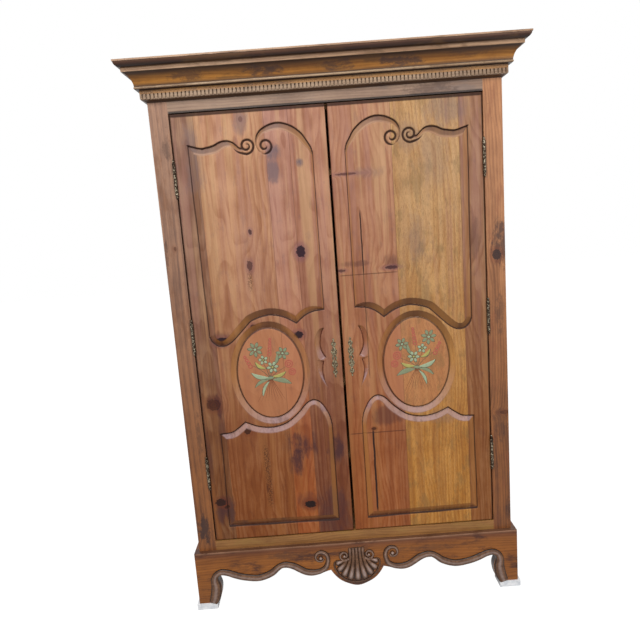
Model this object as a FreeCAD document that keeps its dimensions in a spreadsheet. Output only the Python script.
import FreeCAD, Part
import math
import os
import Sketcher
from FreeCAD import Vector

# A free-standing television armoire: a scroll-cut base on four pads, a case with a face frame,
# two carved slab doors on barrel hinges, and a deep cornice with dentils.
# Frame: +X to the right seen from the front, -Y to the front, +Z up, millimetres.
# The origin is at the middle of the whole object's box, on the floor.

# Driving sizes: name, value, what it is.
SIZES = [
    ("case_width", 1100, "width over the two stiles"),
    ("case_depth", 560, "from the face of the stiles to the back"),
    ("seat_gap", 0.3, "gap where a piece only rests against its neighbour"),
    ("pad_height", 22, "height of a foot pad"),
    ("pad_width", 72, "foot pad along X"),
    ("pad_depth", 62, "foot pad along Y"),
    ("pad_lip", 8, "how far a pad stands out past the side apron"),
    ("base_height", 191, "height of the aprons"),
    ("base_overhang", 16, "how far the base stands out past the case"),
    ("front_apron_thickness", 32, "thickness of the front apron"),
    ("side_apron_thickness", 25, "thickness of a side apron"),
    ("back_apron_thickness", 20, "thickness of the back apron"),
    ("back_apron_height", 95, "height of the back apron"),
    ("side_foot_length", 88, "length of a bracket foot along the side"),
    ("side_arch_height", 92, "height of the arch under a side apron, above the pads"),
    ("side_arch_radius", 42, "radius of that arch's corners"),
    ("pad_front_lip", 4, "how far a front pad stands out past the front apron"),
    ("corner_block_size", 34, "square glue block behind each foot"),
    ("stile_width", 60, "width of a stile"),
    ("frame_thickness", 26, "thickness of the face frame"),
    ("bottom_rail_height", 34, "height of the bottom rail"),
    ("opening_height", 1439, "height of the door opening"),
    ("top_rail_height", 109, "height of the top rail, partly behind the cornice"),
    ("side_thickness", 20, "thickness of a side panel"),
    ("bottom_thickness", 20, "thickness of the bottom panel"),
    ("top_thickness", 20, "thickness of the top panel"),
    ("back_thickness", 6, "thickness of the back panels"),
    ("batten_width", 60, "width of the batten across the back"),
    ("batten_thickness", 18, "thickness of that batten"),
    ("door_gap", 3, "gap between a door and the frame"),
    ("meeting_gap", 8, "gap between the two doors"),
    ("door_thickness", 26, "thickness of a door slab"),
    ("door_ease", 1.6, "eased arris round a door's face"),
    ("stop_lap", 15, "how far the door stop reaches down into the opening"),
    ("stop_height", 66, "height of the door stop"),
    ("stop_thickness", 18, "thickness of the door stop"),
    ("tv_shelf_height", 513, "from the bottom of the opening to the underside of the television shelf"),
    ("tv_shelf_thickness", 22, "thickness of the television shelf"),
    ("shelf_thickness", 18, "thickness of an adjustable shelf"),
    ("shelf_setback", 34, "from the back of the doors to the front edge of a shelf"),
    ("shelf_play", 1, "side play of an adjustable shelf"),
    ("low_shelf_height", 245, "from the bottom of the opening to the underside of the low shelf"),
    ("high_shelf_height", 690, "from the television shelf to the underside of the high shelf"),
    ("cleat_size", 20, "square cleat under the television shelf"),
    ("pin_radius", 3, "radius of a shelf pin"),
    ("pin_length", 18, "length of a shelf pin"),
    ("pin_depth", 9, "depth of a shelf pin's hole"),
    ("pin_inset", 60, "from a shelf's front or back edge to its pins"),
    ("pin_pitch", 32, "spacing of the holes for the shelf pins"),
    ("pin_clearance", 0.05, "radial clearance of a shelf pin in its hole"),
    ("cable_width", 150, "width of a cable outlet"),
    ("cable_height", 60, "height of a cable outlet"),
    ("cable_rise", 45, "from a shelf to the cable outlet above it"),
    ("cable_offset", 200, "from the middle of the back to a cable outlet"),
    ("cornice_out", 72, "how far the cornice stands out past the case"),
    ("cornice_drop", 74, "how far the cornice reaches below the top panel"),
    ("cap_thickness", 20, "thickness of the cornice cap"),
    ("cap_seat", 30, "how far the cap reaches in over the top panel"),
    ("cap_lip", 5, "height of the square lip above the thumb moulding"),
    ("cap_step", 2, "square edge between that lip and the thumb moulding"),
    ("cap_round", 15, "radius of the cap's thumb moulding"),
    ("fillet_out", 54, "how far the fillet under the cap stands out"),
    ("fillet_height", 12, "height of that fillet"),
    ("cove_top_out", 50, "how far the cove stands out at its top"),
    ("cove_foot_out", 27, "how far the cove stands out at its foot"),
    ("cove_radius", 48, "radius of the cove"),
    ("bead_out", 30, "how far the bead under the cove stands out"),
    ("bead_height", 8, "height of that bead"),
    ("bead_round", 4, "how far that bead is rounded over"),
    ("frieze_height", 36, "height of the frieze"),
    ("frieze_out", 10, "thickness of the frieze behind the dentils"),
    ("dentil_out", 6, "thickness of the dentil strip"),
    ("dentil_height", 27, "height of the dentil strip"),
    ("dentil_pitch", 12, "spacing of the dentils"),
    ("dentil_slot", 4, "width of the slot between two dentils"),
    ("dentil_depth", 15, "height of that slot"),
    ("foot_cove_radius", 26, "radius of the cove below the frieze"),
    ("foot_cove_ledge", 2, "square edge between the frieze and its cove"),
    ("foot_cove_out", 14, "how far that ledge stands out"),
    ("mitre_margin", 5, "how far a mitre cut runs past the moulding"),
    ("barrel_radius", 5, "radius of a hinge barrel"),
    ("barrel_length", 50, "length of one hinge knuckle"),
    ("hinge_pin_radius", 2.5, "radius of a hinge pin"),
    ("hinge_clearance", 0.05, "radial clearance of a hinge pin"),
    ("hinge_pin_depth", 40, "depth of the pin in the lower knuckle"),
    ("leaf_thickness", 1.3, "thickness of a hinge leaf"),
    ("leaf_reach", 20, "how far a leaf reaches in behind the face"),
    ("finial_height", 11, "height of a hinge finial"),
    ("finial_radius", 3.6, "largest radius of a hinge finial"),
    ("finial_neck", 2, "radius of a finial's neck"),
    ("pin_head", 2, "thickness of a hinge pin's head"),
    ("hinge_top_inset", 198, "from the top of a door to its upper hinge"),
    ("hinge_middle_rise", 725, "from the bottom of a door to its middle hinge"),
    ("hinge_bottom_inset", 250, "from the bottom of a door to its lower hinge"),
    ("plate_height", 134, "height of an escutcheon"),
    ("plate_width", 20, "width of an escutcheon"),
    ("plate_thickness", 2, "thickness of an escutcheon"),
    ("plate_inset", 24, "from a door's meeting edge to the middle of its escutcheon"),
    ("key_rise", 623, "from the bottom of a door to the keyhole"),
    ("key_radius", 3, "radius of the keyhole"),
    ("key_slot", 3, "width of the keyhole's slot"),
    ("key_drop", 9, "length of the keyhole's slot"),
    ("lock_width", 46, "lock case along the door"),
    ("lock_height", 64, "height of the lock case"),
    ("lock_thickness", 14, "thickness of the lock case"),
    ("bolt_height", 20, "height of the lock bolt"),
    ("bolt_thickness", 7, "thickness of the lock bolt"),
    ("bolt_length", 40, "length of the lock bolt"),
    ("bolt_play", 0.3, "clearance round the lock bolt"),
    ("bolt_rise", 17, "from the keyhole up to the middle of the bolt"),
    ("keeper_width", 18, "keeper along the door"),
    ("keeper_height", 40, "height of the keeper"),
    ("catch_length", 46, "length of a magnetic catch"),
    ("catch_height", 14, "height of a magnetic catch"),
    ("catch_thickness", 13, "thickness of a magnetic catch"),
    ("catches_width", 180, "from the middle of one catch to the middle of the other"),
    ("catch_plate_thickness", 1.2, "thickness of the plate that a catch holds"),
    ("carve_depth", 7, "depth of the carving on the doors"),
    ("carve_hinge_margin", 46, "from a door's hinge edge to its carving"),
    ("carve_meeting_margin", 46, "from a door's meeting edge to its carving"),
    ("oval_rise", 586, "from the bottom of a door to the middle of its oval"),
    ("oval_half_height", 153, "half height of the oval's field"),
    ("oval_half_width", 110, "half width of the oval's field"),
    ("oval_rim", 24, "width of the sloping rim round the oval"),
    ("scroll_depth", 4, "depth of the grooves that draw the scrolls"),
    ("scroll_groove", 5, "width of those grooves"),
    ("apron_bead", 11, "half width of the bead along the front apron"),
    ("apron_bead_rise", 6, "how far that bead stands out"),
    ("volute_boss", 13, "radius of the boss in a volute"),
    ("shell_boss", 14, "radius of the boss on each side of the shell"),
    ("shell_rise", 9, "how far the shell stands out"),
    ("shell_reach", 102, "from the shell's pivot down to its rim"),
    ("shell_pivot_height", 158, "from the top of the pads to the shell's pivot"),
    ("shell_boss_width", 94, "spacing of the two bosses beside the shell"),
    ("shell_boss_height", 150, "from the top of the pads to those bosses"),
]

# Places worked out from the driving sizes.
PLACES = [
    ("front", "(size.cornice_out - size.case_depth) / 2"),
    ("back", "(size.cornice_out + size.case_depth) / 2"),
    ("half_case", "size.case_width / 2"),
    ("half_base", "size.case_width / 2 + size.base_overhang"),
    ("half_inside", "size.case_width / 2 - size.side_thickness"),
    ("half_opening", "size.case_width / 2 - size.stile_width"),
    ("base_front", "at.front - size.base_overhang"),
    ("case_bottom", "size.pad_height + size.base_height"),
    ("opening_bottom", "at.case_bottom + size.bottom_rail_height"),
    ("opening_top", "at.opening_bottom + size.opening_height"),
    ("case_top", "at.opening_top + size.top_rail_height"),
    ("cap_bottom", "at.case_top + size.top_thickness"),
    ("inside_front", "at.front + size.frame_thickness"),
    ("inside_back", "at.back - size.back_thickness"),
    ("door_back", "at.front + size.door_thickness"),
    ("door_bottom", "at.opening_bottom + size.door_gap"),
    ("door_height", "size.opening_height - 2 * size.door_gap"),
    ("door_width", "at.half_opening - size.door_gap - size.meeting_gap / 2"),
    ("stop_front", "max(at.door_back; at.inside_front) + size.seat_gap"),
    ("stop_bottom", "at.opening_top - size.stop_lap"),
    ("shelf_front", "at.door_back + size.shelf_setback"),
    ("tv_shelf_bottom", "at.opening_bottom + size.tv_shelf_height"),
    ("tv_shelf_top", "at.tv_shelf_bottom + size.tv_shelf_thickness"),
    ("low_shelf_bottom", "at.opening_bottom + size.low_shelf_height"),
    ("high_shelf_bottom", "at.tv_shelf_top + size.high_shelf_height"),
    ("shelf_back", "at.inside_back - size.batten_thickness"),
    ("cornice_bottom", "at.case_top - size.cornice_drop"),
    ("frieze_top", "at.cornice_bottom + size.frieze_height"),
    ("dentil_bottom", "at.frieze_top - size.dentil_height"),
    ("hinge_x", "at.half_opening - size.door_gap / 2"),
    ("hinge_y", "at.front - size.barrel_radius - size.seat_gap"),
    ("key_x", "size.meeting_gap / 2 + size.plate_inset"),
    ("key_z", "at.door_bottom + size.key_rise"),
    ("bolt_y", "at.door_back + size.lock_thickness / 2"),
    ("bolt_z", "at.key_z + size.bolt_rise"),
    ("dentil_back", "at.front - size.frieze_out"),
    ("dentil_half", "at.half_case + size.frieze_out + size.dentil_out"),
    ("side_dentil_length", "at.back - at.dentil_back"),
    ("front_dentils", "floor(2 * at.dentil_half / size.dentil_pitch)"),
    ("side_dentils", "floor(at.side_dentil_length / size.dentil_pitch)"),
    ("carve_width", "at.door_width - size.carve_hinge_margin - size.carve_meeting_margin"),
]

doc = FreeCAD.newDocument("tv_armoire")


def fill_sheet(name, rows, mark):
    """Makes a sheet with one named cell for each row; mark goes before the cell's text."""
    sheet = doc.addObject("Spreadsheet::Sheet", name)
    for number_of_row, row in enumerate(rows, start=1):
        sheet.setAlias(f"B{number_of_row}", row[0])
        sheet.set(f"A{number_of_row}", row[0])
        sheet.set(f"B{number_of_row}", mark + str(row[1]))
    return sheet


size = fill_sheet("size", SIZES, "")
doc.recompute()
at = fill_sheet("at", [(name, rule.replace("at.", "")) for name, rule in PLACES], "=")
doc.recompute()
PLACE_NAMES = {name for name, rule in PLACES}
WORKING_CELL = "D1"


def read(name):
    """The number in a named cell of either sheet."""
    sheet = at if name in PLACE_NAMES else size
    return float(sheet.get(name))


def number(rule):
    """Works out a rule, such as "at.front - size.door_gap", with the sheet's own arithmetic."""
    at.set(WORKING_CELL, "=" + rule.replace("at.", ""))
    at.recompute()
    return float(at.get(WORKING_CELL))


# Tools: bound objects, sketches and features.

def bind(thing, **rules):
    """Ties properties to the sheets; a double underscore stands for a dot."""
    for name, rule in rules.items():
        thing.setExpression(name.replace("__", "."), rule)
    return thing


def put(thing, x="0", y="0", z="0"):
    """Ties the place of an object to the sheets."""
    return bind(thing, Placement__Base__x=x, Placement__Base__y=y, Placement__Base__z=z)


def board(label, x, y, z, along, deep, tall):
    """A plain board: its lowest corner and its size along X, Y and Z."""
    box = doc.addObject("Part::Box", label)
    bind(box, Length=along, Width=deep, Height=tall)
    return put(box, x, y, z)


def rod(label, radius, length, x, y, z, axis):
    """A round rod along an axis from (x, y, z)."""
    cylinder = doc.addObject("Part::Cylinder", label)
    cylinder.Placement.Rotation = FreeCAD.Rotation(Vector(0, 0, 1), axis)
    bind(cylinder, Radius=radius, Height=length)
    return put(cylinder, x, y, z)


def cut(label, base, tool):
    """One object less another."""
    result = doc.addObject("Part::Cut", label)
    result.Base = base
    result.Tool = tool
    return result


def join(label, pieces):
    """Several overlapping objects as one solid."""
    result = doc.addObject("Part::MultiFuse", label)
    result.Shapes = pieces
    return result


def group(label, pieces):
    """Several separate solids as one node."""
    result = doc.addObject("Part::Compound", label)
    result.Links = pieces
    return result


def new_body(label):
    return doc.addObject("PartDesign::Body", label)


def draw(body, role, corners):
    """A sketch on one of a body's own planes: a closed outline through corners.

    A corner is (x, y) at the end of a straight side, or (x, y, radius, hollow) at the end of an
    arc, with hollow 1 where the arc bulges to the left of its way round, and -1 to the right.
    """
    plane = next(part for part in body.Origin.OriginFeatures if part.Role == role)
    sketch = body.newObject("Sketcher::SketchObject", f"{body.Name}_sketch")
    sketch.AttachmentSupport = [(plane, "")]
    sketch.MapMode = "FlatFace"
    places = [Vector(number(corner[0]), number(corner[1]), 0) for corner in corners]
    sides = []
    for index, corner in enumerate(corners):
        start = places[index - 1]
        end = places[index]
        if len(corner) == 2:
            sides.append((sketch.addGeometry(Part.LineSegment(start, end), False), 1, 2))
            continue
        radius = number(corner[2])
        along = end - start
        left = Vector(-along.y, along.x, 0).normalize() * corner[3]
        rise = radius - math.sqrt(radius ** 2 - (along.Length / 2) ** 2)
        top = (start + end) * 0.5 + left * rise
        if corner[3] > 0:
            side = sketch.addGeometry(Part.Arc(end, top, start), False)
            sides.append((side, 2, 1))
        else:
            side = sketch.addGeometry(Part.Arc(start, top, end), False)
            sides.append((side, 1, 2))
        row = sketch.addConstraint(Sketcher.Constraint("Radius", side, radius))
        sketch.setExpression(f"Constraints[{row}]", corner[2])
    for index, corner in enumerate(corners):
        side, first, last = sides[index]
        following = sides[(index + 1) % len(sides)]
        sketch.addConstraint(Sketcher.Constraint("Coincident", side, last, following[0], following[1]))
        for kind, rule, value in (
            ("DistanceX", corner[0], places[index].x),
            ("DistanceY", corner[1], places[index].y),
        ):
            row = sketch.addConstraint(Sketcher.Constraint(kind, -1, 1, side, last, value))
            sketch.setExpression(f"Constraints[{row}]", rule)
    return sketch


def draw_circles(body, role, circles):
    """A sketch of circles, each (x, y, radius), on one of a body's own planes."""
    plane = next(part for part in body.Origin.OriginFeatures if part.Role == role)
    sketch = body.newObject("Sketcher::SketchObject", f"{body.Name}_holes")
    sketch.AttachmentSupport = [(plane, "")]
    sketch.MapMode = "FlatFace"
    for x, y, radius in circles:
        middle = Vector(number(x), number(y), 0)
        ring = sketch.addGeometry(Part.Circle(middle, Vector(0, 0, 1), number(radius)), False)
        for kind, rule, value in (("DistanceX", x, middle.x), ("DistanceY", y, middle.y)):
            row = sketch.addConstraint(Sketcher.Constraint(kind, -1, 1, ring, 3, value))
            sketch.setExpression(f"Constraints[{row}]", rule)
        row = sketch.addConstraint(Sketcher.Constraint("Radius", ring, number(radius)))
        sketch.setExpression(f"Constraints[{row}]", radius)
    return sketch


def pad(body, sketch, length, both_ways=False):
    """Extrudes a sketch along its normal, or half to each side."""
    feature = body.newObject("PartDesign::Pad", f"{body.Name}_pad")
    feature.Profile = sketch
    feature.SideType = "Symmetric" if both_ways else "One side"
    bind(feature, Length=length)
    body.Tip = feature
    return feature


def pocket(body, sketch, length, both_ways=True, flip=False):
    """Cuts with a sketch along its normal, or half to each side."""
    feature = body.newObject("PartDesign::Pocket", f"{body.Name}_pocket")
    feature.Profile = sketch
    feature.SideType = "Symmetric" if both_ways else "One side"
    feature.Reversed = flip
    bind(feature, Length=length)
    body.Tip = feature
    return feature


def turn(body, sketch):
    """Revolves a sketch drawn on the XZ plane about the body's Z axis."""
    axis = next(part for part in body.Origin.OriginFeatures if part.Role == "Z_Axis")
    feature = body.newObject("PartDesign::Revolution", f"{body.Name}_turned")
    feature.Profile = sketch
    feature.ReferenceAxis = (axis, [""])
    feature.Angle = 360
    body.Tip = feature
    return feature


# Tools: carving along smooth curves. A curve is drawn in the plane of a face that looks to -Y:
# its points are (x, z), and y grows into the wood. A run is a smooth curve, a rail is a chain of runs
# that meet at corners, and a railed solid has flat facets between rails that keep step.

FACETS_PER_SPAN = 3


def knots_of(run):
    """Where each point of a run lies along it, by straight-line distance."""
    knots = [0.0]
    for before, after in zip(run, run[1:]):
        knots.append(knots[-1] + (after - before).Length)
    return knots


def smooth(run, knots):
    """A smooth curve through the points of a run, reaching them at the given knots."""
    spline = Part.BSplineCurve()
    spline.interpolate(Points=run, Parameters=knots)
    return spline


def fine_points(run, knots, facets):
    """Points along the smooth curve of a run, with the same number between any two knots."""
    if len(run) == 2:
        return list(run)
    spline = smooth(run, knots)
    points = [spline.value(knots[0])]
    for start, end in zip(knots, knots[1:]):
        points += [spline.value(start + (end - start) * step / facets) for step in range(1, facets + 1)]
    return points


def left_ways(run):
    """Unit directions to the left of the way, seen from the front, at each point of a run."""
    points = [Vector(x, 0, z) for x, z in run]
    knots = knots_of(points)
    if len(points) == 2:
        headings = [points[1] - points[0]] * 2
    else:
        spline = smooth(points, knots)
        headings = [spline.getD1(knot)[1] for knot in knots]
    return [Vector(-heading.z, 0, heading.x).normalize() for heading in headings]


def mitred_ways(runs):
    """Left-hand directions along a chain of runs, mitred where two runs meet."""
    ways = [left_ways(run) for run in runs]
    closed = runs[0][0] == runs[-1][-1]
    for index in range(0 if closed else 1, len(runs)):
        before = ways[index - 1][-1]
        after = ways[index][0]
        half = (before + after).normalize()
        mitre = half * (1 / half.dot(after))
        ways[index - 1][-1] = mitre
        ways[index][0] = mitre
    return ways


def facet(corners):
    """A flat face through corners, or nothing where they close up."""
    ring = []
    for corner in corners:
        if not any(corner.isEqual(other, 0.001) for other in ring):
            ring.append(corner)
    if len(ring) < 3:
        return []
    return [Part.Face(Part.makePolygon(ring + [ring[0]]))]


def closed_solid(faces):
    """Faces that close all round, as one solid with its outside outward."""
    shell = Part.makeShell(faces)
    shell.sewShape()
    solid = Part.makeSolid(Part.Shell(shell.Faces))
    if solid.Volume < 0:
        solid.reverse()
    return solid


def railed_solid(rails, closed, facets=FACETS_PER_SPAN):
    """A solid with facets from each rail to the next, and from the last rail to the first."""
    lines = [[] for rail in rails]
    for runs in zip(*rails):
        knots = knots_of(runs[0])
        for line, run in zip(lines, runs):
            line += fine_points(run, knots, facets)
    faces = []
    for index, line in enumerate(lines):
        previous = lines[index - 1]
        for step in range(len(line) - 1):
            corners = (previous[step], previous[step + 1], line[step + 1], line[step])
            faces += facet([corners[0], corners[1], corners[2]])
            faces += facet([corners[0], corners[2], corners[3]])
    if not closed:
        faces += facet([line[0] for line in lines])
        faces += facet([line[-1] for line in lines][::-1])
    return closed_solid(faces)


# The base: four pads, a front apron cut to a scroll, side aprons with bracket feet, a back apron.

SIDES = {"left": -1, "right": 1}
nodes = []


def keep(thing):
    """Marks an object as one of the armoire's pieces."""
    nodes.append(thing)
    return thing


pads = []
blocks = []
for side, sign in SIDES.items():
    outer = "at.half_base + size.pad_lip"
    inner = "at.half_base + size.pad_lip - size.pad_width"
    pad_x = f"-({outer})" if sign < 0 else inner
    block_x = "-(at.half_base - size.side_apron_thickness)"
    if sign > 0:
        block_x = "at.half_base - size.side_apron_thickness - size.corner_block_size"
    for end, pad_y, block_y in (
        ("front", "at.base_front - size.pad_front_lip", "at.base_front + size.front_apron_thickness"),
        ("back", "at.back - size.pad_depth", "at.back - size.back_apron_thickness - size.corner_block_size"),
    ):
        pads.append(board(
            f"{side}_{end}_pad", pad_x, pad_y, "0",
            "size.pad_width", "size.pad_depth", "size.pad_height",
        ))
        blocks.append(board(
            f"{side}_{end}_block", block_x, block_y, "size.pad_height",
            "size.corner_block_size", "size.corner_block_size", "size.base_height",
        ))
keep(group("foot_pads", pads))
keep(group("base_corner_blocks", blocks))

ARCH_TOP = "size.pad_height + size.side_arch_height"
ARCH_FRONT = "at.base_front + size.side_foot_length"
ARCH_BACK = "at.back - size.side_foot_length"
for side, sign in SIDES.items():
    apron = keep(new_body(f"{side}_side_apron"))
    pad(apron, draw(apron, "YZ_Plane", [
        ("at.base_front + size.front_apron_thickness", "at.case_bottom"),
        ("at.base_front + size.front_apron_thickness", "size.pad_height"),
        (ARCH_FRONT, "size.pad_height"),
        (ARCH_FRONT, f"{ARCH_TOP} - size.side_arch_radius"),
        (f"{ARCH_FRONT} + size.side_arch_radius", ARCH_TOP, "size.side_arch_radius", 1),
        (f"{ARCH_BACK} - size.side_arch_radius", ARCH_TOP),
        (ARCH_BACK, f"{ARCH_TOP} - size.side_arch_radius", "size.side_arch_radius", 1),
        (ARCH_BACK, "size.pad_height"),
        ("at.back", "size.pad_height"),
        ("at.back", "at.case_bottom"),
    ]), "size.side_apron_thickness")
    put(apron, "-at.half_base" if sign < 0 else "at.half_base - size.side_apron_thickness")

keep(board(
    "back_apron", "-(at.half_base - size.side_apron_thickness)", "at.back - size.back_apron_thickness",
    "at.case_bottom - size.back_apron_height", "2 * (at.half_base - size.side_apron_thickness)",
    "size.back_apron_thickness", "size.back_apron_height",
))

# The case: face frame, panels, shelves and their carriers.

for side, sign in SIDES.items():
    keep(board(
        f"{side}_stile", "-at.half_case" if sign < 0 else "at.half_opening", "at.front", "at.case_bottom",
        "size.stile_width", "size.frame_thickness", "at.case_top - at.case_bottom",
    ))
keep(board(
    "bottom_rail", "-at.half_opening", "at.front", "at.case_bottom",
    "2 * at.half_opening", "size.frame_thickness", "size.bottom_rail_height",
))
keep(board(
    "top_rail", "-at.half_opening", "at.front", "at.opening_top",
    "2 * at.half_opening", "size.frame_thickness", "size.top_rail_height",
))

PIN_ROWS = {
    "low_shelf": "at.low_shelf_bottom - size.pin_radius",
    "high_shelf": "at.high_shelf_bottom - size.pin_radius",
}
PIN_COLUMNS = {
    "front": "at.shelf_front + size.pin_inset",
    "back": "at.inside_back - size.pin_inset",
}
for side, sign in SIDES.items():
    panel = keep(new_body(f"{side}_side_panel"))
    pad(panel, draw(panel, "YZ_Plane", [
        ("at.inside_front", "at.case_bottom"),
        ("at.inside_back", "at.case_bottom"),
        ("at.inside_back", "at.case_top"),
        ("at.inside_front", "at.case_top"),
    ]), "size.side_thickness")
    holes = draw_circles(panel, "YZ_Plane", [
        (column, f"{row} + {step} * size.pin_pitch", "size.pin_radius + size.pin_clearance")
        for row in PIN_ROWS.values() for column in PIN_COLUMNS.values() for step in (-1, 0, 1)
    ])
    if sign < 0:
        bind(holes, AttachmentOffset__Base__z="size.side_thickness")
    pocket(panel, holes, "size.pin_depth + size.seat_gap", both_ways=False, flip=sign > 0)
    put(panel, "-at.half_case" if sign < 0 else "at.half_inside")

keep(board(
    "bottom_panel", "-at.half_inside", "at.inside_front", "at.opening_bottom - size.bottom_thickness",
    "2 * at.half_inside", "at.inside_back - at.inside_front", "size.bottom_thickness",
))
keep(board(
    "top_panel", "-at.half_case", "at.front", "at.case_top",
    "size.case_width", "size.case_depth", "size.top_thickness",
))

BACK_JOINT = "at.tv_shelf_bottom - size.batten_width / 2"


def cable_outlet(label, sill):
    """A cutter for a slot with round ends in the back, sill being its lower edge."""
    end = "size.cable_height / 2"
    pieces = [board(
        f"{label}_middle", "size.cable_offset - size.cable_width / 2 + size.cable_height / 2",
        "at.inside_back - size.back_thickness", sill,
        "size.cable_width - size.cable_height", "3 * size.back_thickness", "size.cable_height",
    )]
    for place, reach in (("start", f"-size.cable_width / 2 + {end}"), ("end", f"size.cable_width / 2 - {end}")):
        pieces.append(rod(
            f"{label}_{place}", end, "3 * size.back_thickness", f"size.cable_offset + {reach}",
            "at.inside_back - size.back_thickness", f"{sill} + {end}", Vector(0, 1, 0),
        ))
    return join(label, pieces)


for label, low, high, sill in (
    ("lower_back_panel", "at.case_bottom", BACK_JOINT, "at.opening_bottom + size.cable_rise"),
    ("upper_back_panel", BACK_JOINT, "at.case_top", "at.tv_shelf_top + size.cable_rise"),
):
    sheet_of_ply = board(
        f"{label}_sheet", "-at.half_case", "at.inside_back", low,
        "size.case_width", "size.back_thickness", f"{high} - ({low})",
    )
    keep(cut(label, sheet_of_ply, cable_outlet(f"{label}_outlet", sill)))

keep(board(
    "back_batten", "-at.half_inside", "at.shelf_back", "at.tv_shelf_bottom - size.batten_width",
    "2 * at.half_inside", "size.batten_thickness", "size.batten_width",
))
keep(board(
    "tv_shelf", "-at.half_inside", "at.shelf_front", "at.tv_shelf_bottom",
    "2 * at.half_inside", "at.inside_back - at.shelf_front", "size.tv_shelf_thickness",
))
cleats = []
for side, sign in SIDES.items():
    cleats.append(board(
        f"{side}_cleat", "-at.half_inside" if sign < 0 else "at.half_inside - size.cleat_size",
        "at.shelf_front", "at.tv_shelf_bottom - size.cleat_size",
        "size.cleat_size", "at.shelf_back - at.shelf_front", "size.cleat_size",
    ))
keep(group("tv_shelf_cleats", cleats))
for label, bottom in (("low_shelf", "at.low_shelf_bottom"), ("high_shelf", "at.high_shelf_bottom")):
    keep(board(
        label, "-(at.half_inside - size.shelf_play)", "at.shelf_front", bottom,
        "2 * (at.half_inside - size.shelf_play)", "at.inside_back - at.shelf_front - size.shelf_play",
        "size.shelf_thickness",
    ))
pins = []
for shelf, row in PIN_ROWS.items():
    for side, sign in SIDES.items():
        for column, y in PIN_COLUMNS.items():
            pins.append(rod(
                f"{shelf}_{side}_{column}_pin", "size.pin_radius", "size.pin_length",
                f"{sign} * (at.half_inside + size.pin_depth)", y, row, Vector(-sign, 0, 0),
            ))
keep(group("shelf_pins", pins))

keep(board(
    "door_stop", "-at.half_inside", "at.stop_front", "at.stop_bottom",
    "2 * at.half_inside", "size.stop_thickness", "size.stop_height",
))

# The cornice: cap, cove and frieze, each mitred at the front corners, with dentil strips between.
# A profile runs round (out, up) corners; out is measured from the face of the case.
# The bead's radius is a little over half its height, so that its round is not quite full.

BEAD_ROUNDNESS = 0.55
CAP_PROFILE = [
    ("-size.cap_seat", "at.cap_bottom"),
    ("size.cornice_out - size.cap_round", "at.cap_bottom"),
    (
        "size.cornice_out - size.cap_step", "at.cap_bottom + size.cap_thickness - size.cap_lip",
        "size.cap_round", -1,
    ),
    ("size.cornice_out", "at.cap_bottom + size.cap_thickness - size.cap_lip"),
    ("size.cornice_out", "at.cap_bottom + size.cap_thickness"),
    ("-size.cap_seat", "at.cap_bottom + size.cap_thickness"),
]
COVE_PROFILE = [
    ("0", "at.frieze_top"),
    ("size.bead_out - size.bead_round", "at.frieze_top"),
    (
        "size.bead_out - size.bead_round", "at.frieze_top + size.bead_height",
        f"size.bead_height * {BEAD_ROUNDNESS}", -1,
    ),
    ("size.cove_foot_out", "at.frieze_top + size.bead_height"),
    ("size.cove_top_out", "at.cap_bottom - size.fillet_height", "size.cove_radius", 1),
    ("size.fillet_out", "at.cap_bottom - size.fillet_height"),
    ("size.fillet_out", "at.cap_bottom"),
    ("0", "at.cap_bottom"),
]
FRIEZE_PROFILE = [
    ("0", "at.cornice_bottom"),
    (
        "size.foot_cove_out", "at.dentil_bottom - size.foot_cove_ledge",
        "size.foot_cove_radius", 1,
    ),
    ("size.foot_cove_out", "at.dentil_bottom"),
    ("size.frieze_out", "at.dentil_bottom"),
    ("size.frieze_out", "at.frieze_top"),
    ("0", "at.frieze_top"),
]
MITRE_IN = "size.cap_seat + size.mitre_margin"
MITRE_OUT = "size.cornice_out + size.mitre_margin"


def laid_out(corner, origin, sign):
    """One profile corner laid out from origin, to the side that sign gives."""
    across = f"{origin} + {sign} * ({corner[0]})"
    if len(corner) == 2:
        return (across, corner[1])
    return (across, corner[1], corner[2], sign * corner[3])


def moulding(label, profile):
    """The front piece and the two side pieces of one layer of the cornice."""
    front_piece = keep(new_body(f"{label}_front"))
    outline = [laid_out(corner, "at.front", -1) for corner in profile]
    sketch = draw(front_piece, "YZ_Plane", outline)
    pad(front_piece, sketch, f"2 * (at.half_case + {MITRE_OUT})", both_ways=True)
    for sign in SIDES.values():
        waste = draw(front_piece, "XY_Plane", [
            (f"{sign} * (at.half_case - ({MITRE_IN}))", f"at.front + {MITRE_IN}"),
            (f"{sign} * (at.half_case + {MITRE_OUT})", f"at.front - ({MITRE_OUT})"),
            (f"{sign} * (at.half_case + 2 * ({MITRE_OUT}))", f"at.front + {MITRE_IN}"),
        ])
        pocket(front_piece, waste, "3 * at.cap_bottom")
    for side, sign in SIDES.items():
        piece = keep(new_body(f"{label}_{side}"))
        outline = [laid_out(corner, f"{sign} * at.half_case", sign) for corner in profile]
        pad(piece, draw(piece, "XZ_Plane", outline), f"size.case_depth + {MITRE_OUT}")
        put(piece, y="at.back")
        waste = draw(piece, "XY_Plane", [
            (f"{sign} * (at.half_case - ({MITRE_IN}))", f"at.front + {MITRE_IN} - at.back"),
            (f"{sign} * (at.half_case + {MITRE_OUT})", f"at.front - ({MITRE_OUT}) - at.back"),
            (f"{sign} * (at.half_case - ({MITRE_IN}))", f"at.front - 2 * ({MITRE_OUT}) - at.back"),
        ])
        pocket(piece, waste, "3 * at.cap_bottom")


moulding("cornice_cap", CAP_PROFILE)
moulding("cornice_cove", COVE_PROFILE)
moulding("cornice_frieze", FRIEZE_PROFILE)


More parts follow.
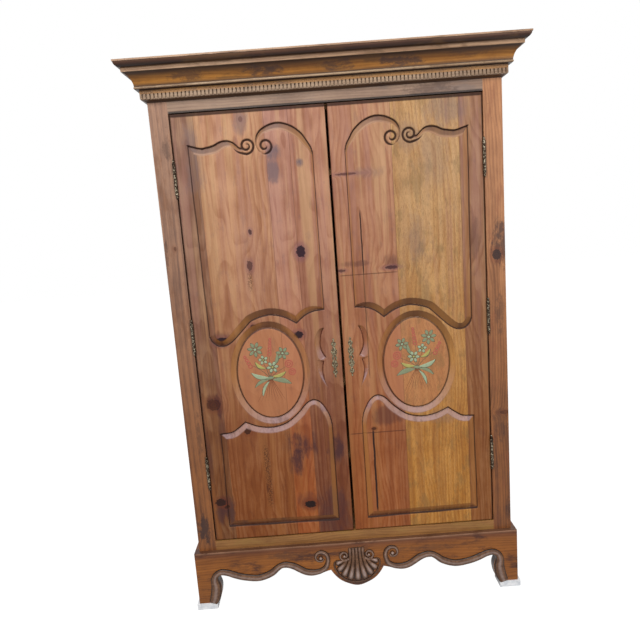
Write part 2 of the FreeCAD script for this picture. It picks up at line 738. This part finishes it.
def dentil_strip(label, length, count):
    """A strip along its own X, from 0 to length, face to -Y, with slots cut up from its lower edge."""
    strip = keep(new_body(label))
    pad(strip, draw(strip, "XZ_Plane", [
        ("0", "0"), (length, "0"), (length, "size.dentil_height"), ("0", "size.dentil_height"),
    ]), "size.dentil_out")
    first = f"({length} - ({count} - 1) * size.dentil_pitch) / 2"
    slot = pocket(strip, draw(strip, "XZ_Plane", [
        (f"{first} - size.dentil_slot / 2", "-1"),
        (f"{first} + size.dentil_slot / 2", "-1"),
        (f"{first} + size.dentil_slot / 2", "size.dentil_depth"),
        (f"{first} - size.dentil_slot / 2", "size.dentil_depth"),
    ]), "3 * size.dentil_out")
    row = strip.newObject("PartDesign::LinearPattern", f"{label}_row")
    row.Originals = [slot]
    row.Direction = (next(part for part in strip.Origin.OriginFeatures if part.Role == "X_Axis"), [""])
    row.Mode = "Spacing"
    bind(row, Offset="size.dentil_pitch", Occurrences=count)
    strip.Tip = row
    return strip


put(
    dentil_strip("dentil_strip_front", "2 * at.dentil_half", "at.front_dentils"),
    "-at.dentil_half", "at.dentil_back", "at.dentil_bottom",
)
for side, sign in SIDES.items():
    strip = dentil_strip(f"dentil_strip_{side}", "at.side_dentil_length", "at.side_dentils")
    strip.Placement.Rotation = FreeCAD.Rotation(Vector(0, 0, 1), 90 * sign)
    put(
        strip, f"{sign} * (at.half_case + size.frieze_out)",
        "at.back" if sign < 0 else "at.dentil_back", "at.dentil_bottom",
    )

# The doors. The carving is drawn for the left door in millimetres from the hinge side of the carving
# and stretched to the door's width; the right door is its mirror image.

DRAWN_WIDTH = 391
LIFT = 1.0

# Each row: across, up, width of the ramp. Runs meet at corners; the ramp lies to the left of the way.
# Heights of the first and last runs are from the top of the door, the others from its bottom.
UPPER_TOP = [
    (171, -116, 8), (161, -114, 9), (151, -104, 12), (138, -94, 16), (121, -89.5, 21), (101, -92, 25),
    (81, -101, 26), (61, -105.5, 24), (38, -107, 23), (0, -96, 20),
]
UPPER_FOOT = [
    (5, 725, 20), (13, 707, 20), (28, 693, 20), (43, 689, 20), (60, 691, 21), (81, 703, 23), (106, 726, 24),
    (141, 761, 24), (156, 770, 24), (181, 778, 24), (211, 782, 24), (241, 777, 24), (266, 767, 23),
    (296, 748, 20),
]
UPPER_TIP = [(296, 748, 20), (324, 771, 22), (352, 783, 20), (391, 788, 8)]
UPPER_ARCH = [
    (391, -148, 8), (386, -128, 12), (375, -108, 17), (361, -86, 20), (341, -67, 22), (321, -55, 22),
    (301, -48, 22), (283, -46, 22), (263, -49, 21), (243, -57, 18), (227, -68, 13), (218, -81, 9),
    (213.5, -96, 6), (214, -110, 5), (218, -123, 4), (226, -133, 4),
]
LOWER_TOP = [
    (391, 365, 16), (390, 392, 16), (384, 423, 17), (374, 446, 18), (362, 466, 18), (348, 479, 18),
    (333, 483.5, 18), (317, 479.5, 18), (301, 467, 20), (283, 447, 22), (263, 429, 22), (241, 413, 22),
    (216, 403, 22), (186, 398.5, 22), (156, 401, 22), (130, 408, 22), (96, 423, 20),
]
LOWER_CORNER = [(96, 423, 20), (68, 402, 22), (45, 390, 22), (8, 387, 20)]
LOWER_FOOT = [(5, 47, 22), (391, 42, 22)]
UPPER_GOUGE = [
    (386, 728, 0), (378, 715, 13), (372, 695, 18), (370, 675, 20), (371, 657, 20), (376, 643, 23),
    (384, 628, 27),
]
LOWER_GOUGE = [
    (377, 611, 25), (373, 595, 20), (372, 575, 15), (375, 553, 9), (381, 533, 4), (386, 518, 0),
]
# The scrolls: a lead-in, then a spiral about a middle.
LEFT_SCROLL = {
    "lead": [(141, -113), (157, -127)], "middle": (184.5, -110), "start": 25, "end": 5,
    "from": 260, "turns": 1.55,
}
RIGHT_SCROLL = {
    "lead": [], "middle": (242, -114), "start": 25, "end": 6, "from": 245, "turns": 1.3,
}
SPIRAL_STEP = 30
OVAL_ACROSS = 196
OVAL_FACETS = 48
TINY = 0.001
# How full a groove is at its end, and how much fuller at each next point.
GROOVE_END = 0.35
GROOVE_GROWTH = 0.43


def carving_place(across, up):
    """A point of the left door's face from its place in the drawing of the carving."""
    stretch = read("carve_width") / DRAWN_WIDTH
    x = -read("half_opening") + read("door_gap") + read("carve_hinge_margin") + across * stretch
    datum = read("door_bottom") if up > 0 else read("door_bottom") + read("door_height")
    return (x, datum + up)


def at_depth(runs, depth):
    """Runs of (x, z) points set at a depth behind the face of the doors."""
    return [[Vector(x, read("front") + depth, z) for x, z in run] for run in runs]


def ramped_trough(rows, closed):
    """A cutter with an upright wall along its runs and a ramp that climbs from the wall's foot."""
    wall = [[carving_place(across, up) for across, up, ramp in run] for run in rows]
    ways = mitred_ways(wall)
    far = []
    depth = read("carve_depth")
    reach = (depth + LIFT) / depth * min(1, read("carve_width") / DRAWN_WIDTH)
    for run, directions, row in zip(wall, ways, rows):
        far.append([
            (x + way.x * ramp * reach, z + way.z * ramp * reach)
            for (x, z), way, (across, up, ramp) in zip(run, directions, row)
        ])
    return railed_solid([at_depth(wall, -LIFT), at_depth(wall, depth), at_depth(far, -LIFT)], closed)


def groove(points, width, depth):
    """A cutter for a V-shaped groove along one smooth run that fades at both ends."""
    ways = left_ways(points)
    last = len(points) - 1
    fades = [min(1, GROOVE_END + GROOVE_GROWTH * min(index, last - index)) for index in range(len(points))]
    edges = [[], []]
    for (x, z), way, fade in zip(points, ways, fades):
        for edge, sign in zip(edges, (-1, 1)):
            reach = sign * fade * width / 2 * (1 + LIFT / depth)
            edge.append((x + way.x * reach, z + way.z * reach))
    floor = [Vector(x, read("front") + depth * fade, z) for (x, z), fade in zip(points, fades)]
    rails = [at_depth([edges[0]], -LIFT), [floor], at_depth([edges[1]], -LIFT)]
    return railed_solid(rails, closed=False, facets=1)


def spiral(scroll):
    """Points of a scroll: its lead-in, then a spiral that tightens evenly, counter-clockwise."""
    steps = round(scroll["turns"] * 360 / SPIRAL_STEP)
    points = [carving_place(*place) for place in scroll["lead"]]
    middle = carving_place(*scroll["middle"])
    for step in range(steps + 1):
        angle = math.radians(scroll["from"] + step * SPIRAL_STEP)
        radius = scroll["start"] + (scroll["end"] - scroll["start"]) * step / steps
        points.append((middle[0] + radius * math.cos(angle), middle[1] + radius * math.sin(angle)))
    return points


def oval_trough():
    """A cutter for the oval: a ramp down from the rim to the foot of the field's upright edge."""
    middle_x = carving_place(OVAL_ACROSS, 0)[0]
    middle_z = read("door_bottom") + read("oval_rise")
    stretch = read("carve_width") / DRAWN_WIDTH
    depth = read("carve_depth")

    def ellipse(wider):
        points = []
        for step in range(OVAL_FACETS + 1):
            angle = 2 * math.pi * (step % OVAL_FACETS) / OVAL_FACETS
            points.append((
                middle_x + (read("oval_half_width") * stretch + wider) * math.cos(angle),
                middle_z + (read("oval_half_height") + wider) * math.sin(angle),
            ))
        return [points]

    field = ellipse(0)
    rim = ellipse(read("oval_rim") * (depth + LIFT) / depth)
    return railed_solid([at_depth(field, -LIFT), at_depth(field, depth), at_depth(rim, -LIFT)], True, facets=1)


def solid_of(label, shape):
    """An object of the document with a shape made by code."""
    thing = doc.addObject("Part::Feature", label)
    thing.Shape = shape
    return thing


def keyhole(label, sign):
    """A cutter for a keyhole: a round hole with a slot below it, right through a door's fittings."""
    through = "size.door_thickness + size.lock_thickness + 3 * size.plate_thickness"
    start = "at.front - 2 * size.plate_thickness"
    ring = rod(
        f"{label}_round", "size.key_radius", through, f"{sign} * at.key_x", start, "at.key_z", Vector(0, 1, 0),
    )
    slot = board(
        f"{label}_slot", f"{sign} * at.key_x - size.key_slot / 2", start, "at.key_z - size.key_drop",
        "size.key_slot", through, "size.key_drop",
    )
    return join(label, [ring, slot])


doc.recompute()
carving = {
    "upper_panel": ramped_trough([
        UPPER_TOP, [UPPER_TOP[-1], UPPER_FOOT[0]], UPPER_FOOT, UPPER_TIP,
        [UPPER_TIP[-1], UPPER_ARCH[0]], UPPER_ARCH,
    ], closed=False),
    "lower_panel": ramped_trough([
        LOWER_TOP, LOWER_CORNER, [LOWER_CORNER[-1], LOWER_FOOT[0]], LOWER_FOOT,
        [LOWER_FOOT[-1], LOWER_TOP[0]],
    ], closed=True),
    "oval": oval_trough(),
    "upper_gouge": ramped_trough([UPPER_GOUGE[::-1]], closed=False),
    "lower_gouge": ramped_trough([LOWER_GOUGE[::-1]], closed=False),
    "left_scroll": groove(spiral(LEFT_SCROLL), read("scroll_groove"), read("scroll_depth")),
    "right_scroll": groove(spiral(RIGHT_SCROLL), read("scroll_groove"), read("scroll_depth")),
}

slab = board(
    "left_slab", "-(at.half_opening - size.door_gap)", "at.front", "at.door_bottom",
    "at.door_width", "size.door_thickness", "at.door_height",
)
doc.recompute()
door = doc.addObject("Part::Chamfer", "left_eased_slab")
door.Base = slab
door.Edges = [
    (index, read("door_ease"), read("door_ease")) for index, edge in enumerate(slab.Shape.Edges, start=1)
    if all(abs(vertex.Y - read("front")) < TINY for vertex in edge.Vertexes)
]
carved_away = join("carved_away", [solid_of(f"{name}_cutter", cutter) for name, cutter in carving.items()])
door = cut("carved_door", door, carved_away)
mirrored = doc.addObject("Part::Mirroring", "mirrored_door")
mirrored.Source = door
mirrored.Normal = Vector(1, 0, 0)
door.Label = "left_door"
keep(door)
keep(cut("right_door", mirrored, keyhole("door_keyhole", 1)))

# The hinges: three to a door. A frame half holds the pin, a door half turns on it.
# Each is turned about the hinge's axis, with a flat leaf between the door and the stile.

HINGE_HEIGHTS = {
    "upper": "at.door_bottom + at.door_height - size.hinge_top_inset",
    "middle": "at.door_bottom + size.hinge_middle_rise",
    "lower": "at.door_bottom + size.hinge_bottom_inset",
}
BORE = "size.hinge_pin_radius + size.hinge_clearance"
LEAF_START = "(size.barrel_radius + size.hinge_pin_radius) / 2"
LEAF_END = "size.barrel_radius + size.seat_gap + size.leaf_reach"
# Heights of a finial's neck, belly and shoulder as shares of its height, and the shoulder's own share.
FINIAL_SHARES = (0.18, 0.42, 0.72)
FINIAL_SHOULDER = 0.8


def finial(foot, way):
    """Corners (radius, height) of a finial on the axis, from its foot to its tip; way is 1 up or -1 down."""
    neck, belly, shoulder = [f"{foot} + {way} * size.finial_height * {share}" for share in FINIAL_SHARES]
    return [
        ("size.finial_neck", foot),
        ("size.finial_neck", neck),
        ("size.finial_radius", belly),
        (f"size.finial_radius * {FINIAL_SHOULDER}", shoulder),
        ("0", f"{foot} + {way} * size.finial_height"),
    ]


def leaf(body, near, far, way):
    """A hinge leaf from X near to X far; it rises or falls from the body's own plane."""
    sketch = draw(body, "XY_Plane", [(near, LEAF_START), (near, LEAF_END), (far, LEAF_END), (far, LEAF_START)])
    plate = pad(body, sketch, "size.barrel_length")
    plate.Reversed = way < 0


def hinge_half(label, on_frame, sign):
    """One knuckle and its leaf; the frame's knuckle is blind and ends in a finial."""
    half = new_body(label)
    if on_frame:
        turn(half, draw(half, "XZ_Plane", [
            (BORE, "0"), ("size.barrel_radius", "0"), ("size.barrel_radius", "-size.barrel_length"),
            *finial("-size.barrel_length", -1),
            ("0", "-(size.hinge_pin_depth + size.seat_gap)"), (BORE, "-(size.hinge_pin_depth + size.seat_gap)"),
        ]))
    else:
        turn(half, draw(half, "XZ_Plane", [
            (BORE, "0"), ("size.barrel_radius", "0"), ("size.barrel_radius", "size.barrel_length"),
            (BORE, "size.barrel_length"),
        ]))
    toward_stile = sign if on_frame else -sign
    outer = f"{toward_stile} * size.door_gap / 2"
    inner = f"{toward_stile} * (size.door_gap / 2 - size.leaf_thickness)"
    leaf(half, outer, inner, -1 if on_frame else 1)
    return half


def hinge_pin(label):
    """A pin with a head and a finial; the head clears the door's knuckle, which sits half a gap up."""
    pin = new_body(label)
    head = "size.barrel_length + size.seat_gap / 2 + size.seat_gap"
    turn(pin, draw(pin, "XZ_Plane", [
        ("0", "-size.hinge_pin_depth"), ("size.hinge_pin_radius", "-size.hinge_pin_depth"),
        ("size.hinge_pin_radius", head), ("size.barrel_radius", head),
        ("size.barrel_radius", f"{head} + size.pin_head"), *finial(f"{head} + size.pin_head", 1),
    ]))
    return pin


# The two knuckles of a hinge lie half a gap below and above its height.
HINGE_SHIFTS = {"frame_leaves": "-size.seat_gap / 2", "door_leaves": "size.seat_gap / 2", "pins": "0"}
for side, sign in SIDES.items():
    for kind, shift in HINGE_SHIFTS.items():
        pieces = []
        for level, height in HINGE_HEIGHTS.items():
            label = f"{side}_{level}_hinge_{kind}"
            piece = hinge_pin(label) if kind == "pins" else hinge_half(label, kind == "frame_leaves", sign)
            pieces.append(put(piece, f"{sign} * at.hinge_x", "at.hinge_y", f"{height} + {shift}"))
        keep(group(f"{side}_hinge_{kind}", pieces))

# The escutcheons: pierced plates with a keyhole, drawn as a half outline from the top tip to the foot.

PLATE_FACETS = 3
PLATE_DRAWN_HALF = (10, 67)
PLATE_HALF = [
    (0, 67), (2.6, 62), (1.7, 58), (4.6, 54), (7.6, 49), (6.2, 43), (3.4, 39), (4.6, 33), (8.6, 27),
    (9.8, 20), (7.2, 13), (5.2, 8), (7.6, 3),
]
PLATE_PIERCINGS = [(4.8, 22, 1.9), (0, 47, 1.7)]


def plate(sign):
    """An escutcheon with the same pierced scrollwork above and below its keyhole."""
    wide = read("plate_width") / 2 / PLATE_DRAWN_HALF[0]
    tall = read("plate_height") / 2 / PLATE_DRAWN_HALF[1]
    right = [(x * wide, z * tall) for x, z in PLATE_HALF]
    right += [(x, -z) for x, z in right[::-1]]
    run = [Vector(x, 0, z) for x, z in right]
    edge = fine_points(run, knots_of(run), PLATE_FACETS)
    ring = edge + [Vector(-point.x, 0, point.z) for point in edge[-2:0:-1]]
    solid = Part.Face(Part.makePolygon(ring + [ring[0]])).extrude(Vector(0, -read("plate_thickness"), 0))
    for x, z, radius in PLATE_PIERCINGS:
        for across in {x, -x}:
            for up in (z, -z):
                start = Vector(across * wide, -2 * read("plate_thickness"), up * tall)
                piercing = Part.makeCylinder(radius, 3 * read("plate_thickness"), start, Vector(0, 1, 0))
                solid = solid.cut(piercing)
    solid.translate(Vector(sign * read("key_x"), read("front"), read("key_z")))
    return solid


for side, sign in SIDES.items():
    keep(cut(
        f"{side}_escutcheon", solid_of(f"{side}_plate", plate(sign)), keyhole(f"{side}_plate_keyhole", sign),
    ))

# The lock on the back of the right door, its bolt, and the keeper on the left door.

lock_body = board(
    "lock_body", "size.meeting_gap / 2", "at.door_back", "at.key_z - size.lock_height / 2",
    "size.lock_width", "size.lock_thickness", "size.lock_height",
)


def bolt_shape(label, start, length, play):
    """The bolt's own box, or with some play the channel that it slides in."""
    return board(
        label, start, f"at.bolt_y - size.bolt_thickness / 2 - {play}",
        f"at.bolt_z - size.bolt_height / 2 - {play}",
        length, f"size.bolt_thickness + 2 * {play}", f"size.bolt_height + 2 * {play}",
    )


channel = bolt_shape(
    "lock_channel", "size.meeting_gap / 2 - size.bolt_play", "size.bolt_length + 2 * size.bolt_play",
    "size.bolt_play",
)
keep(cut("lock_case", cut("lock_with_channel", lock_body, channel), keyhole("lock_keyhole", 1)))
keep(bolt_shape("lock_bolt", "size.meeting_gap / 2", "size.bolt_length", "0"))
keeper_body = board(
    "keeper_body", "-(size.meeting_gap / 2 + size.keeper_width)", "at.door_back",
    "at.bolt_z - size.keeper_height / 2", "size.keeper_width", "size.lock_thickness", "size.keeper_height",
)
keeper_channel = bolt_shape(
    "keeper_channel", "-(size.meeting_gap / 2 + size.keeper_width + size.bolt_play)",
    "size.keeper_width + 2 * size.bolt_play", "size.bolt_play",
)
keep(cut("lock_keeper", keeper_body, keeper_channel))

# The magnetic catches under the door stop, and the plates on the doors that they hold.

catches = []
for side, sign in SIDES.items():
    start = f"{sign} * size.catches_width / 2 - size.catch_length / 2"
    catches.append(board(
        f"{side}_catch", start, "at.door_back + size.catch_plate_thickness + size.seat_gap",
        "at.stop_bottom - size.catch_height", "size.catch_length", "size.catch_thickness", "size.catch_height",
    ))
    keep(board(
        f"{side}_catch_plate", start, "at.door_back", "at.stop_bottom - size.catch_height + size.seat_gap",
        "size.catch_length", "size.catch_plate_thickness", "size.catch_height - 2 * size.seat_gap",
    ))
keep(group("magnetic_catches", catches))

# The front apron: a board whose lower edge is cut to a scroll, with a bead that follows the edge
# into a volute on each side, and a shell in the middle. Drawn as half outlines from the middle line,
# up from the top of the pads.

APRON_DRAWN_HALF = 566
APRON_EDGE = [
    (500, 0), (489, 18), (483, 43), (482, 61), (487, 80), (490, 91), (486, 100), (475, 103), (455, 98),
    (430, 87), (400, 77), (357, 70), (330, 74), (305, 86), (288, 98), (276, 109), (262, 112.5), (245, 112),
    (225, 104), (205, 91), (185, 80), (160, 75), (135, 79), (112, 87), (93, 92),
]
APRON_DROP = [(93, 92), (80, 71), (60, 50), (35, 36), (0, 26)]
# Each row: across, up, half width of the bead.
APRON_BEAD = [
    (511, 4, 7), (503, 22, 9), (496, 45, 9), (495, 66, 9), (500, 88, 9), (497, 106, 8), (480, 115, 9),
    (455, 110, 11), (430, 99, 11), (400, 89, 11), (357, 82, 11), (328, 86, 11), (300, 98, 11), (283, 112, 9),
    (270, 121, 9), (255, 125, 10), (240, 123, 10), (220, 115, 11), (198, 101, 11), (178, 91, 10),
    (155, 87.5, 10), (132, 91, 9), (115, 103, 8), (106, 121, 7), (104, 140, 6), (110, 155, 5.5),
    (122, 161, 5), (134, 158, 4.5), (141, 149, 4), (140, 138, 3.5),
]
BEAD_PROFILE = [(1, 0), (0.8, 0.62), (0.35, 0.96), (-0.35, 0.96), (-0.8, 0.62), (-1, 0)]
VOLUTE = (124, 137)
# Each row: angle from straight down, share of the shell's reach there.
SHELL_OUTLINE = [(0, 1), (20, 0.99), (40, 0.96), (56, 0.88), (72, 0.765)]
SHELL_LOBES = 7
SHELL_FACETS_PER_LOBE = 4
SHELL_RINGS = [0.15, 0.4, 0.7, 0.92, 1.0]
SHELL_SCALLOP = 0.08
APRON_FACETS = 3


def apron_point(across, up, rise=0):
    """A point on the apron's face, or in front of it, from its place in the drawing."""
    x = across * read("half_base") / APRON_DRAWN_HALF
    return Vector(x, read("base_front") - rise, read("pad_height") + up)


def mirrored_run(run):
    """A run from right to left: the given half, then its mirror image."""
    return run + [(-across, up) for across, up in run[-2::-1]]


def apron_board():
    """The apron cut to its scroll."""
    edge = [apron_point(*place) for place in APRON_EDGE]
    drop = [apron_point(*place) for place in mirrored_run(APRON_DROP)]
    half = [apron_point(APRON_DRAWN_HALF, 0)] + fine_points(edge, knots_of(edge), APRON_FACETS)
    middle = fine_points(drop, knots_of(drop), APRON_FACETS)
    far_half = [Vector(-point.x, point.y, point.z) for point in half[::-1]]
    top = [
        apron_point(-APRON_DRAWN_HALF, read("base_height")), apron_point(APRON_DRAWN_HALF, read("base_height")),
    ]
    ring = half[:-1] + middle + far_half[1:] + top
    return Part.Face(Part.makePolygon(ring + [ring[0]])).extrude(Vector(0, read("front_apron_thickness"), 0))


def boss(place, radius, rise):
    """A low dome of the given radius that swells from the apron's face."""
    ball = (radius * radius + rise * rise) / (2 * rise)
    middle = apron_point(*place, rise - ball)
    front_half = Part.makeBox(
        2 * ball, 2 * ball, 2 * ball, Vector(middle.x - ball, read("base_front") - 2 * ball, middle.z - ball),
    )
    return Part.makeSphere(ball, middle).common(front_half)


def apron_bead():
    """The right-hand bead: a round-backed moulding on the apron's face, and its volute's boss."""
    ways = left_ways([(across, up) for across, up, half in APRON_BEAD])
    rails = []
    for out, share in BEAD_PROFILE:
        rails.append([[
            apron_point(across + way.x * out * half, up + way.z * out * half, share * read("apron_bead_rise"))
            for (across, up, half), way in zip(APRON_BEAD, ways)
        ]])
    bead = railed_solid(rails, closed=False, facets=1)
    return bead.fuse(boss(VOLUTE, read("volute_boss"), read("apron_bead_rise")))


def shell_share(angle):
    """The share of the shell's reach at an angle from straight down."""
    for (low, near), (high, far) in zip(SHELL_OUTLINE, SHELL_OUTLINE[1:]):
        if angle <= high:
            return near + (far - near) * (angle - low) / (high - low)
    return SHELL_OUTLINE[-1][1]


def shell_point(step, share):
    """A point of the shell: its step round the fan, and its share of the way out from the pivot."""
    last = SHELL_LOBES * SHELL_FACETS_PER_LOBE
    angle = SHELL_OUTLINE[-1][0] * (2 * step / last - 1)
    lobe = abs(math.sin(math.pi * step / SHELL_FACETS_PER_LOBE))
    reach = read("shell_reach") * shell_share(abs(angle))
    out = reach * share * (1 - SHELL_SCALLOP * (1 - lobe) * share)
    rise = 0 if share == SHELL_RINGS[-1] else read("shell_rise") * (0.5 + 0.5 * share) * (0.6 + 0.4 * lobe)
    return apron_point(
        out * math.sin(math.radians(angle)),
        read("shell_pivot_height") - out * math.cos(math.radians(angle)), rise,
    )


def shell_carving():
    """A fan of rounded lobes spreading down from the pivot, closed by a flat back."""
    steps = range(SHELL_LOBES * SHELL_FACETS_PER_LOBE + 1)
    rings = [[shell_point(step, share) for step in steps] for share in SHELL_RINGS]
    crown = apron_point(0, read("shell_pivot_height"), read("shell_rise") / 2)
    root = apron_point(0, read("shell_pivot_height"))
    faces = []
    for step in steps[:-1]:
        faces += facet([crown, rings[0][step], rings[0][step + 1]])
        faces += facet([root, rings[-1][step + 1], rings[-1][step]])
        for inner, outer in zip(rings, rings[1:]):
            faces += facet([inner[step], outer[step], outer[step + 1]])
            faces += facet([inner[step], outer[step + 1], inner[step + 1]])
    for end in (0, -1):
        faces += facet([root, crown] + [ring[end] for ring in rings])
    return closed_solid(faces)


keep(solid_of("front_apron", apron_board()))
right_bead = apron_bead()
keep(group("apron_beads", [
    solid_of("right_apron_bead", right_bead),
    solid_of("left_apron_bead", right_bead.mirror(Vector(0, 0, 0), Vector(1, 0, 0))),
]))
shell_parts = [solid_of("shell_fan", shell_carving())]
for side, sign in SIDES.items():
    place = (sign * read("shell_boss_width") / 2, read("shell_boss_height"))
    shell_parts.append(solid_of(f"{side}_shell_boss", boss(place, read("shell_boss"), read("shell_rise"))))
keep(join("apron_shell", shell_parts))

# Check every object of the document and every piece, then write one file for each piece.

doc.recompute()
for thing in doc.Objects:
    if "Invalid" in thing.State or "Error" in thing.State:
        raise RuntimeError(f"{thing.Label} did not build: {thing.State}")
os.makedirs("parts", exist_ok=True)
for thing in nodes:
    if thing.Shape.isNull() or not thing.Shape.isValid():
        raise RuntimeError(f"{thing.Label} has no sound shape")
    thing.Shape.exportStep(f"parts/{thing.Label}.step")
print(f"{len(nodes)} pieces written")
